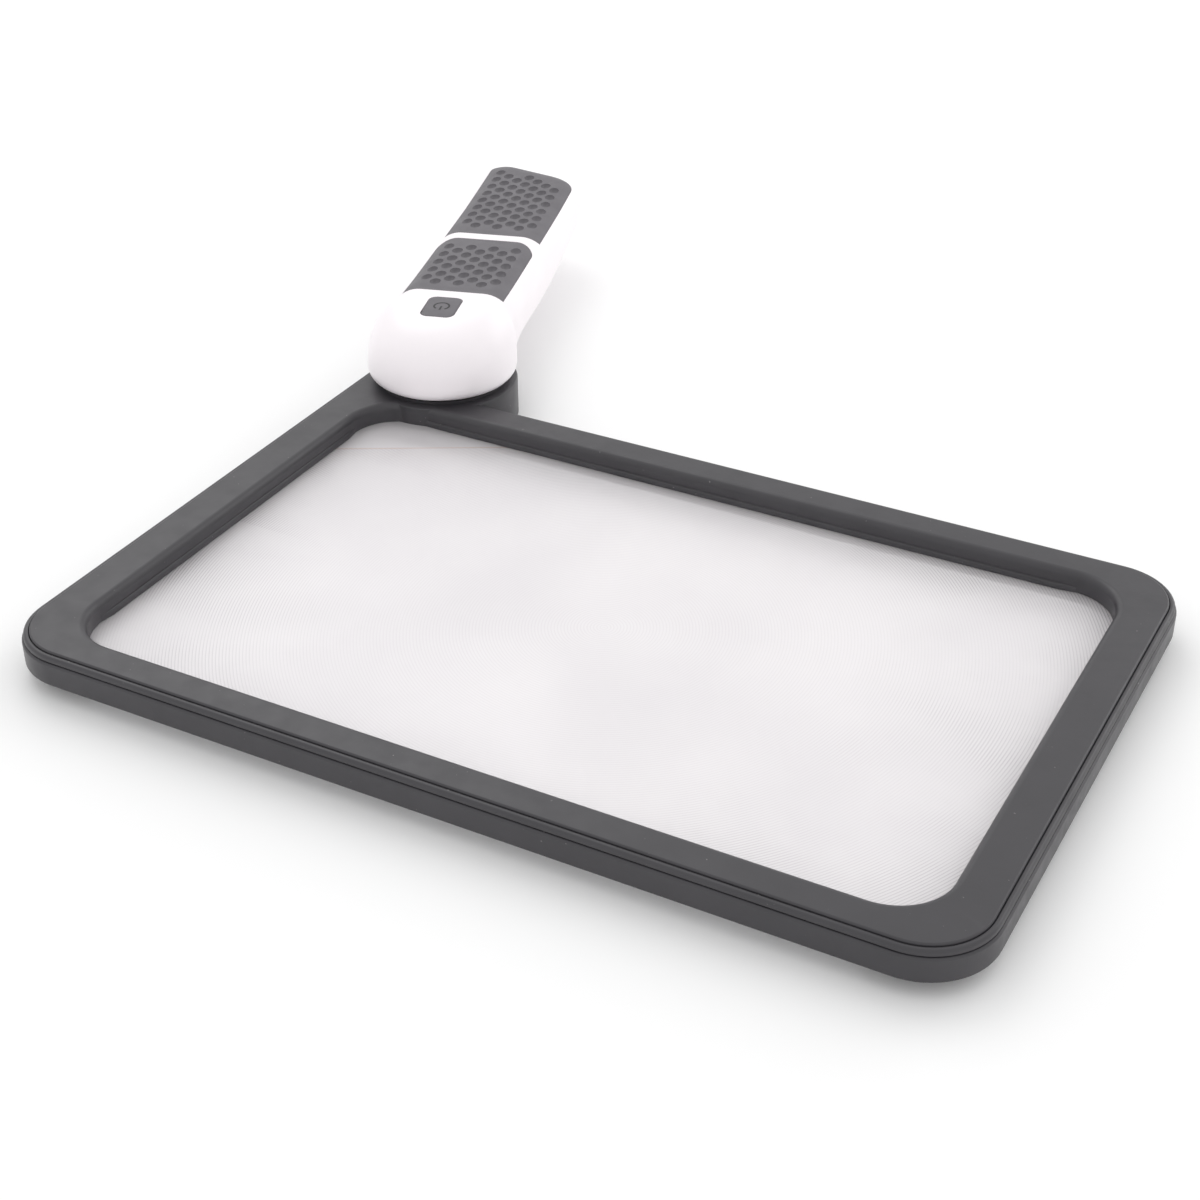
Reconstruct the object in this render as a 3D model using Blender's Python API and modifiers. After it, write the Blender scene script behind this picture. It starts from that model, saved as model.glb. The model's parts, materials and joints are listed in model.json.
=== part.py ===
"""Full-page LED reading magnifier with a swivelling battery handle.

The frame lies flat with its long side along X. The handle swings about a vertical axis at the
far left corner. Handle pieces are modelled with the handle pointing along +Y from that axis,
and an empty on the axis turns them to their resting direction.
"""

import math

import bmesh
import bpy
from mathutils import Matrix, Vector

MM = 0.001

# Frame
FRAME_X = 240.0 * MM
FRAME_Y = 155.5 * MM
FRAME_TOP = 8.3 * MM
FRAME_CORNER = 16.7 * MM
WINDOW_X = 214.6 * MM
WINDOW_Y = 134.2 * MM
WINDOW_CORNER = 13.3 * MM
WALL = 1.6 * MM
FLOOR = 1.0 * MM
SEAM_LOW = 6.2 * MM
SEAM_HIGH = 6.5 * MM
RIM_STEP = 0.5 * MM
GAP = 0.3 * MM

# Lens
LENS_LAP = 2.2 * MM
LENS_LOW = 1.3 * MM
LENS_HIGH = 2.8 * MM

# Boss and pivot
PIVOT = Vector((-98.7 * MM, 87.2 * MM, 0.0))
BOSS_R = 21.3 * MM
BOSS_WALL = 2.0 * MM
LUG_DROP = 3.2 * MM
BOSS_LOW = -4.0 * MM
BOSS_TOP = 9.1 * MM
HUB_R = 9.0 * MM
STOP_DISC_R = 16.0 * MM
CAP_R = 14.7 * MM
TUBE_R = 5.0 * MM
TUBE_BORE_R = 3.4 * MM
TUBE_FLANGE_R = 7.5 * MM
TUBE_GROOVE_R = 4.3 * MM
SWING_MIN = -107.0
SWING_MAX = 163.0
STOP_RADIUS = 13.0 * MM
STOP_PIN_R = 1.2 * MM

# Lighting
BAND_Y = (FRAME_Y + WINDOW_Y) / 4.0 + 0.4 * MM
FRONT_LIGHT_X = (-95.0 * MM, 95.0 * MM)
BACK_LIGHT_X = (-70.0 * MM, 95.0 * MM)
CHIPS_PER_BOARD = 12

# Handle
REST_TURN = math.radians(17.0)
HEAD_R = 21.3 * MM
HANDLE_HALF = 18.2 * MM
END_CENTRE = 105.7 * MM
END_SLOPE = 0.40
TIP_R = 6.0 * MM
SHOULDER_R = 16.0 * MM
SHELL = 2.0 * MM
LOWER_LOOPS = 3
UPPER_LOOPS = 4
TOP_LINE = ((-30, 28.9), (4, 28.9), (28, 27.6), (67, 26.1), (89, 25.4), (122, 24.8), (150, 24.4))
BOTTOM_LINE = ((-30, 9.7), (13, 9.7), (22, 11.0), (44, 9.8), (61, 9.3), (89, 10.9), (134, 15.0), (150, 16.0))
SEAM_AT_HEAD = 13.6 * MM
SEAM_RISE = 0.028
PAD_EDGE = 3.3 * MM
PAD_DEPTH = 1.0 * MM
FRONT_PAD_Y = (13.3 * MM, 56.2 * MM)
REAR_PAD_Y = (60.9 * MM, 150.0 * MM)
PAD_CORNER = 5.0 * MM
BUTTON_Y = 1.5 * MM
BUTTON_HALF = (4.6 * MM, 6.4 * MM)
BUTTON_TOP = 29.1 * MM
BUTTON_CORNER = 3.0 * MM

# Cells: three AAA cells side by side
CELL_R = 5.25 * MM
CELL_LENGTH = 44.5 * MM
CELL_NUB = 1.0 * MM
CELL_Y = 38.5 * MM
CELL_Z = 17.45 * MM
CELL_PITCH = 10.6 * MM
TAB_HALF = 3.5 * MM
DOOR_HALF = 13.5 * MM
DOOR_Y = (34.5 * MM, 88.0 * MM)
DOOR_THICKNESS = 1.5 * MM

FRAME_SCREWS = ((109.3, 68.0), (109.3, -68.0), (-109.3, -68.0), (113.6, 0.0), (-113.6, 0.0))
SEAT_R = 3.0 * MM
SEAT_TOP = 2.4 * MM
HEAD_HOLE_R = 2.25 * MM
HEAD_HOLE_TOP = 1.1 * MM
HANDLE_SCREWS = ((-11.0, 25.0), (11.0, 25.0), (-8.0, 101.0), (5.0, 101.0))

PARTS = "reading_magnifier"
CUTTERS = "cutters"
ROUND_STEPS = 28
WELD = 0.02 * MM


# ---------------------------------------------------------------- scene helpers

def clear_scene():
    for obj in list(bpy.data.objects):
        bpy.data.objects.remove(obj, do_unlink=True)


def collection(name):
    found = bpy.data.collections.get(name)
    if found is None:
        found = bpy.data.collections.new(name)
        bpy.context.scene.collection.children.link(found)
    return found


def material(name, colour, roughness, metallic=0.0, alpha=1.0):
    mat = bpy.data.materials.get(name)
    if mat is None:
        mat = bpy.data.materials.new(name)
        mat.use_nodes = True
        shader = mat.node_tree.nodes["Principled BSDF"]
        shader.inputs["Base Color"].default_value = (*colour, 1.0)
        shader.inputs["Roughness"].default_value = roughness
        shader.inputs["Metallic"].default_value = metallic
        shader.inputs["Alpha"].default_value = alpha
    return mat


def tool_object(name, mesh):
    """A working body, kept with the cutters until it is used or finished."""
    obj = bpy.data.objects.new(name, mesh)
    obj.hide_render = True
    obj.display_type = "WIRE"
    collection(CUTTERS).objects.link(obj)
    return obj


def evaluated_mesh(obj, outward=True):
    """The mesh with its modifiers applied. A body with a hollow keeps its own face directions."""
    bpy.context.view_layer.update()
    graph = bpy.context.evaluated_depsgraph_get()
    mesh = bpy.data.meshes.new_from_object(obj.evaluated_get(graph))
    bm = bmesh.new()
    bm.from_mesh(mesh)
    bmesh.ops.remove_doubles(bm, verts=bm.verts, dist=1e-7)
    if outward:
        bmesh.ops.recalc_face_normals(bm, faces=bm.faces)
    bm.to_mesh(mesh)
    bm.free()
    return mesh


def combine(target, tool, operation):
    """Boolean target with tool, keep the result in target and remove the tool."""
    modifier = target.modifiers.new(operation, "BOOLEAN")
    modifier.operation = operation
    modifier.solver = "EXACT"
    modifier.object = tool
    mesh = evaluated_mesh(target, outward=False)
    target.modifiers.remove(modifier)
    target.data = mesh
    bpy.data.objects.remove(tool, do_unlink=True)
    return target


def join(target, *tools):
    for tool in tools:
        combine(target, tool, "UNION")
    return target


def cut(target, *tools):
    for tool in tools:
        combine(target, tool, "DIFFERENCE")
    return target


def keep_inside(target, tool):
    return combine(target, tool, "INTERSECT")


def finish(obj, name, mat, parent):
    """Turn a working body into a named part."""
    bm = bmesh.new()
    bm.from_mesh(obj.data)
    bmesh.ops.remove_doubles(bm, verts=bm.verts, dist=WELD)
    bmesh.ops.dissolve_degenerate(bm, edges=bm.edges, dist=WELD)
    bmesh.ops.triangulate(bm, faces=bm.faces)
    bm.to_mesh(obj.data)
    bm.free()
    obj.name = name
    obj.data.name = name
    obj.data.materials.clear()
    obj.data.materials.append(mat)
    obj.data.shade_smooth()
    obj.data.set_sharp_from_angle(angle=math.radians(35.0))
    obj.hide_render = False
    obj.display_type = "TEXTURED"
    collection(CUTTERS).objects.unlink(obj)
    collection(PARTS).objects.link(obj)
    obj.parent = parent
    return obj


# ---------------------------------------------------------------- outlines and simple bodies

def arc(centre, radius, start, end, steps):
    """Points along an arc, angles in degrees, both ends included."""
    points = []
    for i in range(steps + 1):
        angle = math.radians(start + (end - start) * i / steps)
        points.append((centre[0] + radius * math.cos(angle), centre[1] + radius * math.sin(angle)))
    return points


def circle(radius, centre=(0.0, 0.0), steps=ROUND_STEPS):
    return arc(centre, radius, 0.0, 360.0 - 360.0 / steps, steps - 1)


def rounded_rectangle(half_x, half_y, radius, centre=(0.0, 0.0), steps=5):
    points = []
    for sign_x, sign_y, start in ((1, 1, 0), (-1, 1, 90), (-1, -1, 180), (1, -1, 270)):
        corner = (centre[0] + sign_x * (half_x - radius), centre[1] + sign_y * (half_y - radius))
        points += arc(corner, radius, start, start + 90, steps)
    return points


def frame_outline(inset=0.0):
    """Outer edge of the frame: three round corners, and a far left corner that ends in the boss."""
    x = FRAME_X / 2.0 - inset
    y = FRAME_Y / 2.0 - inset
    radius = FRAME_CORNER - inset
    points = arc((x - radius, -y + radius), radius, 270, 360, 5)
    points += arc((x - radius, y - radius), radius, 0, 90, 5)
    points += [(PIVOT.x, y), (PIVOT.x, PIVOT.y - LUG_DROP), (-x, PIVOT.y - LUG_DROP)]
    points += arc((-x + radius, -y + radius), radius, 180, 270, 5)
    return points


def window_outline(grow=0.0):
    return rounded_rectangle(WINDOW_X / 2.0 + grow, WINDOW_Y / 2.0 + grow, WINDOW_CORNER + grow)


def plate(name, low, high, *outlines):
    """Flat outlines, the first one outside and the others holes, filled from low to high."""
    curve = bpy.data.curves.new(name, "CURVE")
    curve.dimensions = "2D"
    curve.fill_mode = "BOTH"
    curve.extrude = (high - low) / 2.0
    for outline in outlines:
        spline = curve.splines.new("POLY")
        spline.points.add(len(outline) - 1)
        for point, place in zip(spline.points, outline):
            point.co = (place[0], place[1], 0.0, 1.0)
        spline.use_cyclic_u = True
    source = bpy.data.objects.new(name, curve)
    collection(CUTTERS).objects.link(source)
    mesh = evaluated_mesh(source)
    mesh.transform(Matrix.Translation((0.0, 0.0, (low + high) / 2.0)))
    bpy.data.objects.remove(source, do_unlink=True)
    return tool_object(name, mesh)


def disc(name, radius, low, high, centre=(0.0, 0.0), steps=ROUND_STEPS):
    return plate(name, low, high, circle(radius, centre, steps))


def ring(name, outer, inner, low, high, centre=(0.0, 0.0)):
    return plate(name, low, high, circle(outer, centre), circle(inner, centre))


def block(name, low, high):
    bm = bmesh.new()
    bmesh.ops.create_cube(bm, size=1.0)
    low, high = Vector(low), Vector(high)
    size = high - low
    bmesh.ops.transform(bm, verts=bm.verts, matrix=Matrix.Diagonal((*size, 1.0)))
    bmesh.ops.translate(bm, verts=bm.verts, vec=(low + high) / 2.0)
    mesh = bpy.data.meshes.new(name)
    bm.to_mesh(mesh)
    bm.free()
    return tool_object(name, mesh)


def turned(name, profile, steps=ROUND_STEPS):
    """A closed profile of (radius, z), listed down its outer side first, turned about Z."""
    mesh = bpy.data.meshes.new(name)
    bm = bmesh.new()
    verts = [bm.verts.new((radius, 0.0, z)) for radius, z in profile]
    for first, second in zip(verts, verts[1:] + verts[:1]):
        bm.edges.new((first, second))
    bm.to_mesh(mesh)
    bm.free()
    obj = tool_object(name, mesh)
    screw = obj.modifiers.new("turn", "SCREW")
    screw.steps = steps
    screw.render_steps = steps
    screw.use_merge_vertices = True
    screw.merge_threshold = 0.00001
    turned_mesh = evaluated_mesh(obj)
    obj.modifiers.remove(screw)
    obj.data = turned_mesh
    return obj


def wire(name, points, radius, resolution=1):
    """A round wire with filled ends along a list of points."""
    curve = bpy.data.curves.new(name, "CURVE")
    curve.dimensions = "3D"
    curve.bevel_depth = radius
    curve.bevel_resolution = resolution
    curve.use_fill_caps = True
    spline = curve.splines.new("POLY")
    spline.points.add(len(points) - 1)
    for point, place in zip(spline.points, points):
        point.co = (*place, 1.0)
    source = bpy.data.objects.new(name, curve)
    collection(CUTTERS).objects.link(source)
    mesh = evaluated_mesh(source)
    bpy.data.objects.remove(source, do_unlink=True)
    return tool_object(name, mesh)


def lying(obj, x, y, z):
    """Turn a body from +Z to +Y and move its origin to the given place."""
    turn = Matrix.Rotation(math.radians(-90.0), 4, "X")
    obj.data.transform(Matrix.Translation((x, y, z)) @ turn)
    return obj


# ---------------------------------------------------------------- handle form

def smooth_line(line, y):
    """Height in metres of a line of (y, z) points in millimetres, smoothed between them."""
    y = y / MM
    last = len(line) - 1
    index = max(i for i in range(last) if i == 0 or line[i][0] <= y)
    before, start, end, after = (line[min(max(index + k, 0), last)] for k in (-1, 0, 1, 2))
    width = end[0] - start[0]
    part = min(max((y - start[0]) / width, 0.0), 1.0)
    slope_in = (end[1] - before[1]) / (end[0] - before[0]) if before != start else 0.0
    slope_out = (after[1] - start[1]) / (after[0] - start[0]) if after != end else 0.0
    square, cube = part * part, part * part * part
    height = (2 * cube - 3 * square + 1) * start[1] + (cube - 2 * square + part) * width * slope_in
    height += (3 * square - 2 * cube) * end[1] + (cube - square) * width * slope_out
    return height * MM


def corner_arc(before, corner, after, radius, steps=4):
    """Round the corner between two straight edges."""
    to_before = (before - corner).normalized()
    to_after = (after - corner).normalized()
    half_angle = to_before.angle(to_after) / 2.0
    centre = corner + (to_before + to_after).normalized() * radius / math.sin(half_angle)
    start = corner + to_before * radius / math.tan(half_angle) - centre
    end = corner + to_after * radius / math.tan(half_angle) - centre
    turn = start.angle_signed(end)
    points = []
    for i in range(steps + 1):
        angle = -turn * i / steps
        x = start.x * math.cos(angle) - start.y * math.sin(angle)
        y = start.x * math.sin(angle) + start.y * math.cos(angle)
        points.append(centre + Vector((x, y)))
    return points


def handle_outline(inset, head_steps=20, side_steps=6):
    """Edge points of the handle in plan, each with its partner on the middle line and its half width."""
    head = HEAD_R - inset
    half = HANDLE_HALF - inset
    join_y = math.sqrt(head * head - half * half)
    start_angle = math.degrees(math.atan2(join_y, half))
    spine_start = 0.47 * join_y
    rows = []
    for x, y in arc((0.0, 0.0), head, 180.0 - start_angle, 360.0 + start_angle, head_steps):
        lift = max(0.0, y / join_y) ** 3
        rows.append((Vector((x, y)), Vector((0.0, spine_start * lift)), head + (half - head) * lift))
    slope_length = math.hypot(1.0, END_SLOPE)
    reach = END_CENTRE + half * slope_length
    shoulder = Vector((half, reach - END_SLOPE * half))
    tip = Vector((-half, reach + END_SLOPE * half))
    right = corner_arc(Vector((half, 0.0)), shoulder, tip, max(SHOULDER_R - inset, 0.5 * MM))
    left = corner_arc(shoulder, tip, Vector((-half, 0.0)), max(TIP_R - inset, 0.5 * MM))
    end = Vector((0.0, END_CENTRE))
    first_spine = Vector((0.0, spine_start))
    right_start, left_start = rows[-1][0], rows[0][0]
    for i in range(1, side_steps):
        part = i / side_steps
        rows.append((right_start.lerp(right[0], part), first_spine.lerp(end, part), half))
    rows += [(point, end, half) for point in right + left]
    for i in range(side_steps - 1, 0, -1):
        part = i / side_steps
        rows.append((left_start.lerp(left[-1], part), first_spine.lerp(end, part), half))
    return rows


def edge_rounding(edge, thickness, inset):
    """Run and drop of the upper rounding: the head is a dome nearly its full height, the rest is tighter."""
    backness = 0.5 - 0.5 * edge.y / max(edge.length, 1e-9) if edge.y < HEAD_R / 2.0 else 0.0
    dome = max(0.0, (backness - 0.3) / 0.7)
    dome = dome * dome * (3.0 - 2.0 * dome)
    headness = min(max((14.0 * MM - edge.y) / (20.0 * MM), 0.0), 1.0)
    headness = headness * headness * (3.0 - 2.0 * headness)
    run = (8.9 + 7.1 * dome) * MM - inset
    drop = min((8.9 + 6.5 * headness) * MM - inset, (0.62 + 0.2 * headness) * thickness)
    return run, drop


def handle_form(name, inset):
    """The whole handle as one closed body, with its surface moved inwards by inset."""
    rows = handle_outline(inset)
    loops = []

    def add_loop(share, angle, upper):
        loop = []
        for edge, spine, half in rows:
            low = smooth_line(BOTTOM_LINE, edge.y) + inset
            high = smooth_line(TOP_LINE, edge.y) - inset
            run, drop = edge_rounding(edge, high - low, inset)
            if not upper:
                run = drop = min(3.2 * MM - inset, 0.3 * (high - low))
            shift = run * (1.0 - math.cos(angle)) / half
            place = edge.lerp(spine, 1.0 if share else shift)
            line = TOP_LINE if upper else BOTTOM_LINE
            sign = 1.0 if upper else -1.0
            height = smooth_line(line, place.y) - sign * (inset + drop * (1.0 - math.sin(angle)))
            loop.append(Vector((place.x, place.y, height)))
        loops.append(loop)

    add_loop(True, math.pi / 2.0, False)
    for i in range(LOWER_LOOPS, -1, -1):
        add_loop(False, math.pi / 2.0 * i / LOWER_LOOPS, False)
    for i in range(UPPER_LOOPS + 1):
        add_loop(False, math.pi / 2.0 * i / UPPER_LOOPS, True)
    add_loop(True, math.pi / 2.0, True)

    bm = bmesh.new()
    rings = [[bm.verts.new(place) for place in loop] for loop in loops]
    count = len(rows)
    for lower, upper in zip(rings, rings[1:]):
        for i in range(count):
            k = (i + 1) % count
            bm.faces.new((lower[i], lower[k], upper[k], upper[i]))
    bmesh.ops.remove_doubles(bm, verts=bm.verts, dist=1e-6)
    bmesh.ops.dissolve_degenerate(bm, edges=bm.edges, dist=1e-7)
    bmesh.ops.triangulate(bm, faces=bm.faces)
    bmesh.ops.recalc_face_normals(bm, faces=bm.faces)
    mesh = bpy.data.meshes.new(name)
    bm.to_mesh(mesh)
    bm.free()
    return tool_object(name, mesh)


def below_seam(name, offset):
    """A large block under the sloping seam between the two handle shells."""
    obj = block(name, (-0.05, -0.2, -0.1), (0.05, 0.2, 0.0))
    slope = Matrix.Rotation(math.atan(SEAM_RISE), 4, "X")
    lift = SEAM_AT_HEAD + SEAM_RISE * HEAD_R + offset
    obj.data.transform(Matrix.Translation((0.0, 0.0, lift)) @ slope)
    return obj


def pad_outline(span, grow):
    """Plan outline of a grip pad: the handle's edge moved in, cut square near and rounded far."""
    start, stop = span[0] - grow, span[1] + grow
    half = HANDLE_HALF - PAD_EDGE + grow
    if stop > END_CENTRE:
        points = [(p.x, p.y) for p, _, _ in handle_outline(PAD_EDGE - grow)]
        far = [point for point in points if point[1] > start + 1.0 * MM]
        return [(-half, start), (half, start)] + far
    corner = PAD_CORNER
    points = [(-half, start), (half, start)]
    points += arc((half - corner, stop - corner), corner, 0, 90, 6)
    points += arc((-half + corner, stop - corner), corner, 90, 180, 6)
    return points


# ---------------------------------------------------------------- frame pieces

def make_frame_lower_cover(parent, mat):
    cover = plate("cover", 0.0, SEAM_LOW, frame_outline())
    join(cover, disc("boss", BOSS_R, BOSS_LOW, SEAM_LOW, PIVOT))
    cut(cover, plate("channel", FLOOR, 10 * MM, frame_outline(WALL)))
    cut(cover, disc("hollow", BOSS_R - BOSS_WALL, -2.0 * MM, 10 * MM, PIVOT))
    cut(cover, disc("cap_seat", CAP_R + GAP, -5.0 * MM, -1.0 * MM, PIVOT))
    cut(cover, plate("window", -6 * MM, 12 * MM, window_outline()))
    for sign, span in ((-1, FRONT_LIGHT_X), (1, BACK_LIGHT_X)):
        centre = ((span[0] + span[1]) / 2.0, sign * BAND_Y)
        half_x = (span[1] - span[0]) / 2.0 + 2 * MM
        slot = rounded_rectangle(half_x, 1.6 * MM, 1.2 * MM, centre, 3)
        cut(cover, plate("light_slot", -1 * MM, 3 * MM, slot))
    for x, y in FRAME_SCREWS:
        place = (x * MM, y * MM)
        join(cover, disc("screw_seat", SEAT_R, FLOOR / 2.0, SEAT_TOP, place, 20))
        cut(cover, disc("counterbore", HEAD_HOLE_R, -1 * MM, HEAD_HOLE_TOP, place, 20))
        cut(cover, disc("screw_hole", 1.4 * MM, -1 * MM, 3 * MM, place, 16))
    return finish(cover, "frame_lower_cover", mat, parent)


def make_frame_upper_cover(parent, mat):
    cover = plate("cover", SEAM_HIGH, FRAME_TOP, frame_outline(RIM_STEP))
    join(cover, disc("boss_top", BOSS_R - RIM_STEP, SEAM_HIGH, BOSS_TOP, PIVOT))
    join(cover, plate("skirt", LENS_HIGH + GAP, SEAM_HIGH + 0.5 * MM, window_outline(WALL)))
    join(cover, disc("stop_disc", STOP_DISC_R, 5.3 * MM, SEAM_HIGH + 0.6 * MM, PIVOT))
    join(cover, disc("hub", HUB_R, 3.1 * MM, 5.6 * MM, PIVOT))
    for x, y in FRAME_SCREWS:
        join(cover, disc("post", 2.3 * MM, SEAT_TOP + GAP, SEAM_HIGH + 0.4 * MM, (x * MM, y * MM), 16))
        cut(cover, disc("post_hole", 1.1 * MM, 0.0, SEAM_HIGH, (x * MM, y * MM), 12))
    cut(cover, plate("window", -6 * MM, 12 * MM, window_outline()))
    cut(cover, disc("pivot_hole", TUBE_R + GAP, 0.0, 12 * MM, PIVOT))
    cut(cover, stop_slot())
    return finish(cover, "frame_upper_cover", mat, parent)


def stop_slot():
    """Arc slot for the stop pin, which stands opposite the handle."""
    half_width = STOP_PIN_R + GAP
    margin = math.degrees(math.asin(half_width / STOP_RADIUS))
    pin_rest = 270.0 + math.degrees(REST_TURN)
    start = pin_rest + SWING_MIN - margin
    end = pin_rest + SWING_MAX + margin
    outline = arc(PIVOT, STOP_RADIUS + half_width, start, end, 28)
    outline += arc(PIVOT, STOP_RADIUS - half_width, end, start, 28)
    return plate("stop_slot", 6.9 * MM, 12 * MM, outline)


def make_lens(parent, mat):
    lens = plate("lens", LENS_LOW, LENS_HIGH, window_outline(LENS_LAP))
    return finish(lens, "fresnel_lens", mat, parent)


def make_boss_cap(parent, mat):
    cap = disc("cap", CAP_R, -3.8 * MM, -2.3 * MM, PIVOT)
    return finish(cap, "boss_cap", mat, parent)


def make_friction_washer(parent, mat):
    washer = ring("washer", 8.5 * MM, TUBE_R + GAP, 2.2 * MM, 2.8 * MM, PIVOT)
    return finish(washer, "friction_washer", mat, parent)


def make_lighting(parent, board_mat, chip_mat, window_mat):
    """Board, light chips and diffuser strip in each long side of the frame."""
    for side, sign, span in (("front", -1, FRONT_LIGHT_X), ("back", 1, BACK_LIGHT_X)):
        y = sign * BAND_Y
        board = block("board", (span[0], y - 2.5 * MM, 3.8 * MM), (span[1], y + 2.5 * MM, 4.8 * MM))
        finish(board, "led_board_" + side, board_mat, parent)
        pitch = (span[1] - span[0]) / CHIPS_PER_BOARD
        tape = block("tape", (span[0], y - 0.8 * MM, 3.25 * MM), (span[1], y + 0.8 * MM, 3.5 * MM))
        for i in range(CHIPS_PER_BOARD):
            x = span[0] + pitch * (i + 0.5)
            low = (x - 1.75 * MM, y - 1.3 * MM, 2.8 * MM)
            join(tape, block("chip", low, (x + 1.75 * MM, y + 1.3 * MM, 3.4 * MM)))
        finish(tape, "led_strip_" + side, chip_mat, parent)
        half_x = (span[1] - span[0]) / 2.0 + 2 * MM - GAP
        outline = rounded_rectangle(half_x, 1.6 * MM - GAP, 0.9 * MM, ((span[0] + span[1]) / 2.0, y), 3)
        strip = plate("strip", 0.15 * MM, 2.3 * MM, outline)
        finish(strip, "light_window_" + side, window_mat, parent)


def make_frame_screws(parent, mat):
    for index, (x, y) in enumerate(FRAME_SCREWS):
        place = (x * MM, y * MM)
        screw = disc("head", 1.9 * MM, 0.3 * MM, HEAD_HOLE_TOP - 0.1 * MM, place, 16)
        join(screw, disc("shank", 0.8 * MM, 0.6 * MM, 5.6 * MM, place, 12))
        finish(screw, "frame_screw_" + str(index + 1), mat, parent)


def make_frame_leads(parent, mat):
    """Leads from the foot of the pivot tube to the two light boards."""
    x, y = PIVOT.x, PIVOT.y
    left = -FRAME_X / 2.0 + 4.0 * MM
    near = -BAND_Y
    to_front = (
        (x - 1.2 * MM, y - 1 * MM, -1.75 * MM), (x - 8 * MM, y - 7 * MM, -1.7 * MM),
        (x - 11 * MM, y - 10 * MM, 1.6 * MM), (left + 1.5 * MM, y - 16 * MM, 1.8 * MM),
        (left, y - 24 * MM, 2.4 * MM), (left, 20 * MM, 2.4 * MM), (left - 1.4 * MM, 8 * MM, 2.4 * MM),
        (left - 1.4 * MM, -8 * MM, 2.4 * MM), (left, -20 * MM, 2.4 * MM), (left, -56 * MM, 2.4 * MM),
        (left + 2 * MM, -64 * MM, 2.4 * MM), (left + 2.8 * MM, -68 * MM, 2.4 * MM),
        (left + 6 * MM, near - 0.6 * MM, 2.6 * MM), (-103 * MM, near - 0.8 * MM, 3.4 * MM),
        (FRONT_LIGHT_X[0] - 1.0 * MM, near, 4.2 * MM),
    )
    to_back = (
        (x + 1.2 * MM, y - 1 * MM, -1.75 * MM), (x + 9 * MM, y - 7 * MM, -1.7 * MM),
        (x + 12 * MM, y - 9 * MM, 1.6 * MM), (x + 16 * MM, BAND_Y + 0.5 * MM, 1.8 * MM),
        (x + 22 * MM, BAND_Y, 3.4 * MM), (BACK_LIGHT_X[0] - 1.0 * MM, BAND_Y, 4.2 * MM),
    )
    finish(wire("lead", to_front, 0.4 * MM), "lead_front_lights", mat, parent)
    finish(wire("lead", to_back, 0.4 * MM), "lead_back_lights", mat, parent)


# ---------------------------------------------------------------- handle pieces

def screw_post(x, y, low, radius, depth):
    """A post hanging from the upper shell, stopped short of the outer surface by depth."""
    post = disc("post", radius, low, 40 * MM, (x, y), 16)
    return keep_inside(post, handle_form("limit", depth))


def make_handle_upper_shell(parent, mat):
    shell = cut(handle_form("shell", 0.0), handle_form("hollow", SHELL))
    cut(shell, below_seam("below", GAP / 2.0))
    for x, y in HANDLE_SCREWS:
        low = smooth_line(BOTTOM_LINE, y * MM) + SHELL + GAP
        join(shell, screw_post(x * MM, y * MM, low, 2.6 * MM, 1.5 * MM))
        cut(shell, disc("post_hole", 1.25 * MM, 0.0, 21.5 * MM, (x * MM, y * MM), 12))
    for span in (FRONT_PAD_Y, REAR_PAD_Y):
        recess = plate("recess", 17.8 * MM, 40 * MM, pad_outline(span, GAP))
        cut(recess, handle_form("recess_floor", PAD_DEPTH + GAP))
        cut(shell, recess)
    hole = rounded_rectangle(BUTTON_HALF[0] + GAP, BUTTON_HALF[1] + GAP, BUTTON_CORNER, (0.0, BUTTON_Y), 4)
    cut(shell, plate("button_hole", 24 * MM, 40 * MM, hole))
    return finish(shell, "handle_upper_shell", mat, parent)


def door_region(name, grow):
    half = DOOR_HALF + grow
    y = (DOOR_Y[0] + DOOR_Y[1]) / 2.0
    half_y = (DOOR_Y[1] - DOOR_Y[0]) / 2.0 + grow
    return plate(name, 0.0, 15.0 * MM, rounded_rectangle(half, half_y, 2.0 * MM + grow, (0.0, y), 4))


def make_handle_lower_shell(parent, mat):
    shell = cut(handle_form("shell", 0.0), handle_form("hollow", SHELL))
    keep_inside(shell, below_seam("below", -GAP / 2.0))
    cut(shell, door_region("door_hole", GAP))
    for x in (-8.5 * MM, 8.5 * MM):
        join(shell, disc("board_post", 1.8 * MM, 10.5 * MM, 17.1 * MM, (x, -4 * MM), 12))
    cut(shell, disc("pivot_hole", TUBE_R + GAP, 0.0, 14 * MM))
    cut(shell, disc("pin_hole", STOP_PIN_R + GAP, 0.0, 11.2 * MM, (0.0, -STOP_RADIUS), 16))
    for x, y in HANDLE_SCREWS:
        floor = smooth_line(BOTTOM_LINE, y * MM)
        place = (x * MM, y * MM)
        cut(shell, disc("screw_hole", 1.25 * MM, 0.0, 20 * MM, place, 16))
        cut(shell, disc("counterbore", 2.2 * MM, 0.0, floor + 1.2 * MM, place, 16))
    return finish(shell, "handle_lower_shell", mat, parent)


def make_battery_door(parent, mat):
    door = cut(handle_form("door", 0.0), handle_form("hollow", DOOR_THICKNESS))
    keep_inside(door, door_region("region", 0.0))
    return finish(door, "battery_door", mat, parent)


def make_pads(parent, mat):
    for name, span in (("front_grip_pad", FRONT_PAD_Y), ("rear_grip_pad", REAR_PAD_Y)):
        pad = cut(handle_form("pad", 0.0), handle_form("hollow", PAD_DEPTH))
        keep_inside(pad, plate("region", 18.1 * MM, 40 * MM, pad_outline(span, 0.0)))
        finish(pad, name, mat, parent)


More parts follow.
